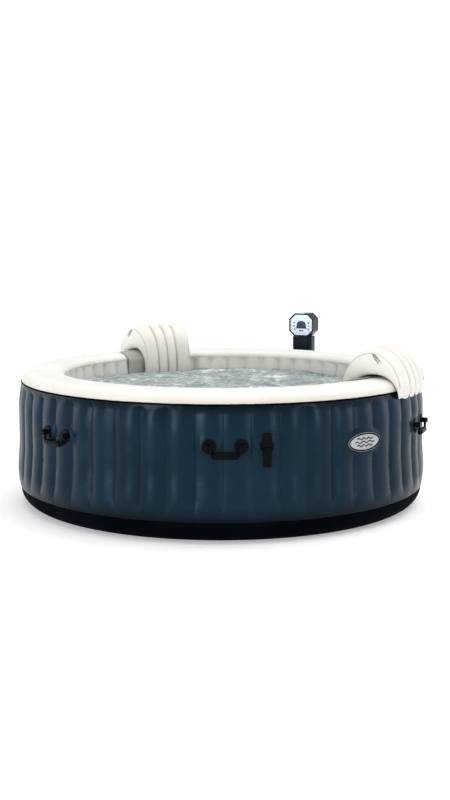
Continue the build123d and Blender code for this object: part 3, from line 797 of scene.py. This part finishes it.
def lens_mesh(name, place, length, height, depth, slit):
    """Puffed lens-shaped lip with a closed slit along its middle."""
    points = []
    faces = []
    long_steps, cross_steps = 24, 12
    for k in range(long_steps + 1):
        u = -1 + 2 * k / long_steps
        wide = max(0.02, (1 - u * u) ** 0.7)
        for j in range(cross_steps):
            turn = 2 * math.pi * j / cross_steps
            up = math.sin(turn) * height / 2 * wide
            out = math.cos(turn) * depth / 2 * wide
            if out > 0:
                out -= slit * math.exp(-((up / height) / 0.10) ** 2) * wide
            points.append(place @ Vector((u * length / 2, out, up)))
    for k in range(long_steps):
        for j in range(cross_steps):
            n = (j + 1) % cross_steps
            a = k * cross_steps
            faces.append((a + j, a + n, a + cross_steps + n, a + cross_steps + j))
    faces.append(tuple(range(cross_steps)))
    faces.append(tuple(range(len(points) - cross_steps, len(points))))
    return mesh_from(name, points, faces)


def build_headrest_valve(name, azimuth, width, lift, side):
    """Flat mouth valve welded on the end of the pad, set on a slant."""
    turn = azimuth + side * (width / 2 - 0.35)
    centre = at(turn, 0.965, 0.795 + lift * 0.8)
    out = at(turn + side * 90, 1.0, 0.0)
    along = Vector((0, 0, 1)).cross(out).normalized()
    slant = (along * 0.74 * side + Vector((0, 0, -0.67)) * -1).normalized()
    up = out.cross(slant).normalized()
    place = Matrix.Translation(centre) @ Matrix((slant, out, up)).transposed().to_4x4()
    lip = lens_mesh(name + "_valve", place, 0.085, 0.024, 0.020, 0.006)
    return add_piece(lip, name, VALVE)


def sleeve_outline():
    """Profile of the sleeve, (along, radius), out over the finger ribs and back inside."""
    steps = 60
    outline = [(0.0, SLEEVE_R - 0.0017), (0.0015, SLEEVE_R - 0.0005), (0.004, SLEEVE_R)]
    for k in range(1, steps):
        u = k / steps
        rib = 0.0007 * abs(math.sin(u * math.pi * 3)) ** 0.7
        outline.append((0.004 + 0.092 * u, SLEEVE_R + rib))
    outline += [(0.096, SLEEVE_R), (0.0985, SLEEVE_R - 0.0005), (SLEEVE_LENGTH, SLEEVE_R - 0.0017)]
    return outline + [(along, SLEEVE_BORE) for along, _ in outline[::-3]]


def build_grips():
    """Soft sleeve with finger ribs moulded round each handle's bar."""
    outline = sleeve_outline()
    rows = len(outline)
    sides = 28
    for index, azimuth in enumerate(HANDLE_AZIMUTHS, start=1):
        place = frame_at(azimuth, OUTER_R + 0.018, HARDWARE_Z - 0.042)
        points = []
        for along, radius in outline:
            for k in range(sides):
                turn = 2 * math.pi * k / sides
                spot = Vector((along - SLEEVE_LENGTH / 2, radius * math.cos(turn), radius * math.sin(turn)))
                points.append(place @ spot)
        faces = []
        for row in range(rows):
            here = row * sides
            after = (row + 1) % rows * sides
            for k in range(sides):
                n = (k + 1) % sides
                faces.append((here + k, here + n, after + n, after + k))
        sleeve = mesh_from(f"handle_{index}_sleeve", points, faces)
        add_piece(sleeve, f"handle_{index}", BLACK)


def build_badge_waves():
    """Dark border and three raised wave lines on the oval badge."""
    def spot(across, up, lift):
        turn = BADGE_AZIMUTH - math.degrees(across / OUTER_R)
        return at(turn, OUTER_R + lift, BADGE_Z + up)

    ring = [spot(0.1000 * math.cos(2 * math.pi * k / 72), 0.0402 * math.sin(2 * math.pi * k / 72), 0.0030)
            for k in range(73)]
    border = tube_along("badge_border", ring, 0.0044)
    add_piece(border, "tub", BLACK)
    for row, reach in ((-1, 0.050), (0, 0.064), (1, 0.050)):
        path = []
        for k in range(49):
            u = -1 + 2 * k / 48
            path.append(spot(u * reach, row * 0.0165 + 0.0042 * math.sin(u * 9.4), 0.0030))
        wave = tube_along(f"badge_wave_{row + 2}", path, 0.0026)
        add_piece(wave, "tub", BLACK)


def shade_sheet_point(share, offset):
    """Outline of the painted-shade sheet: from just inside the rim's crest, down the inner wall to the water.
    """
    if share > 0.8:
        drop = (share - 0.8) / 0.2
        return INNER_R - offset - 0.001, RIM_INNER_Z - 0.006 - 0.085 * drop
    spot = 0.58 + 0.42 * share / 0.8
    radius, height = rim_point(spot)
    before, after = rim_point(max(0.0, spot - 0.01)), rim_point(min(1.0, spot + 0.01))
    slope = Vector((after[0] - before[0], after[1] - before[1])).normalized()
    ease = smooth((spot - 0.8) / 0.2) * (RIM_INNER - INNER_R + 0.001)
    return radius + slope.y * offset - ease, height - slope.x * offset


def build_shade_sheet(name, azimuth, width, side):
    """Grey sheet of the headrest, under the pad and past its near end, on the rim's inner side: painted
    shade, standing for the shadow under the arch.
    """
    shares = [k / 34 for k in range(35)]
    low = azimuth - width / 2 - (6.5 if side < 0 else 0.3)
    high = azimuth + width / 2 + (6.5 if side > 0 else 0.3)
    turns = [low + (high - low) * k / 18 for k in range(19)]
    points = []
    for offset in (0.0035, 0.0060):
        for turn in turns:
            for share in shares:
                points.append(at(turn, *shade_sheet_point(share, offset)))
    rows, columns = len(turns), len(shares)
    faces = []
    layer = rows * columns
    for r in range(rows - 1):
        for c in range(columns - 1):
            a = r * columns + c
            faces.append((a, a + 1, a + columns + 1, a + columns))
            faces.append((a + layer, a + columns + layer, a + columns + 1 + layer, a + 1 + layer))
    for r in range(rows - 1):
        for c in (0, columns - 1):
            a = r * columns + c
            faces.append((a, a + columns, a + columns + layer, a + layer))
    for c in range(columns - 1):
        for r in (0, rows - 1):
            a = r * columns + c
            faces.append((a, a + 1, a + 1 + layer, a + layer))
    shade_sheet = mesh_from(name + "_shade_sheet", points, faces)
    return add_piece(shade_sheet, name, SHADE_SHEET)


# ------------------------------------------------------------------ stage

def build_stage():
    floor_mesh = bpy.data.meshes.new("floor")
    size = 30
    corners = [(-size, -size), (size, -size), (size, size), (-size, size)]
    floor_mesh.from_pydata([(x, y, -0.0005) for x, y in corners], [], [(0, 1, 2, 3)])
    floor = new_object("floor", floor_mesh)
    material, _tree, shader = new_material("pale_floor")
    shader.inputs["Base Color"].default_value = (0.86, 0.86, 0.86, 1)
    shader.inputs["Roughness"].default_value = 0.9
    shader.inputs["Specular IOR Level"].default_value = 0.1
    shader.inputs["Emission Color"].default_value = (1, 1, 1, 1)
    shader.inputs["Emission Strength"].default_value = 0.3
    floor_mesh.materials.append(material)


def area_light(name, place, target, size, radiance, colour=(1, 1, 1)):
    """A soft box whose face has the stated radiance."""
    data = bpy.data.lights.new(name, "AREA")
    data.shape = "RECTANGLE"
    data.size, data.size_y = size
    data.energy = radiance * math.pi * size[0] * size[1]
    data.color = colour
    light = new_object(name, data)
    light.location = place
    light.visible_camera = False
    aim = Vector(target) - Vector(place)
    light.rotation_euler = aim.to_track_quat("-Z", "Y").to_euler()
    return light


def build_world():
    """White round the horizon, dimmer overhead, where the lamps do the work."""
    world = bpy.data.worlds.new("studio")
    bpy.context.scene.world = world
    world.use_nodes = True
    tree = world.node_tree
    background = tree.nodes["Background"]
    place = tree.nodes.new("ShaderNodeTexCoord")
    split = tree.nodes.new("ShaderNodeSeparateXYZ")
    tree.links.new(place.outputs["Generated"], split.inputs[0])
    ramp = ramp_node(tree, split.outputs["Z"], [(0.0, grey(1.0)), (0.19, grey(1.0)), (0.36, grey(0.40))])
    tree.links.new(ramp.outputs[0], background.inputs["Color"])
    background.inputs["Strength"].default_value = 1.05


def build_lights():
    sun = bpy.data.lights.new("overhead", "SUN")
    sun.energy = 2.1
    sun.angle = math.radians(70)
    lamp = new_object("overhead", sun)
    lamp.rotation_euler = (math.radians(-11), math.radians(12), 0)
    area_light("left_box", (-10.0, 1.8, 2.4), (0, 0, 0.4), (5.2, 4.4), 2.3, (0.62, 0.84, 1.0))
    area_light("right_box", (10.0, 1.8, 2.4), (0, 0, 0.4), (5.2, 4.4), 2.2, (0.66, 0.86, 1.0))
    area_light("front_left_box", (-6.6, -8.6, 1.6), (0, 0, 0.4), (2.8, 3.4), 13.0)
    area_light("front_right_box", (7.6, -8.0, 1.6), (0, 0, 0.4), (1.8, 3.4), 9.0)
    bpy.context.scene.view_settings.view_transform = "Standard"
    bpy.context.scene.view_settings.look = "None"


def build_camera():
    data = bpy.data.cameras.new("camera")
    data.sensor_width = 36
    data.lens = 54.79
    camera = new_object("camera", data)
    camera.location = (0, -6.5234, 1.4505)
    camera.rotation_euler = (math.radians(90 - 8.11), 0, math.radians(-0.19))
    bpy.context.scene.camera = camera


build_camera()
build_world()
build_lights()
build_stage()
dress_nodes()
build_outer_wall()
build_inner_wall()
build_beams()
build_rim()
build_base()
build_seams()
build_floor_liner()
build_water()
for rest, azimuth, width, lift, grooves in HEADRESTS:
    build_headrest(rest, azimuth, width, lift, grooves)
    build_headrest_piping(rest, azimuth, width, lift)
    near_side = -1 if rest == "headrest_right" else 1
    build_headrest_valve(rest, azimuth, width, lift, near_side)
    build_shade_sheet(rest, azimuth, width, near_side)
build_grips()
build_badge_waves()
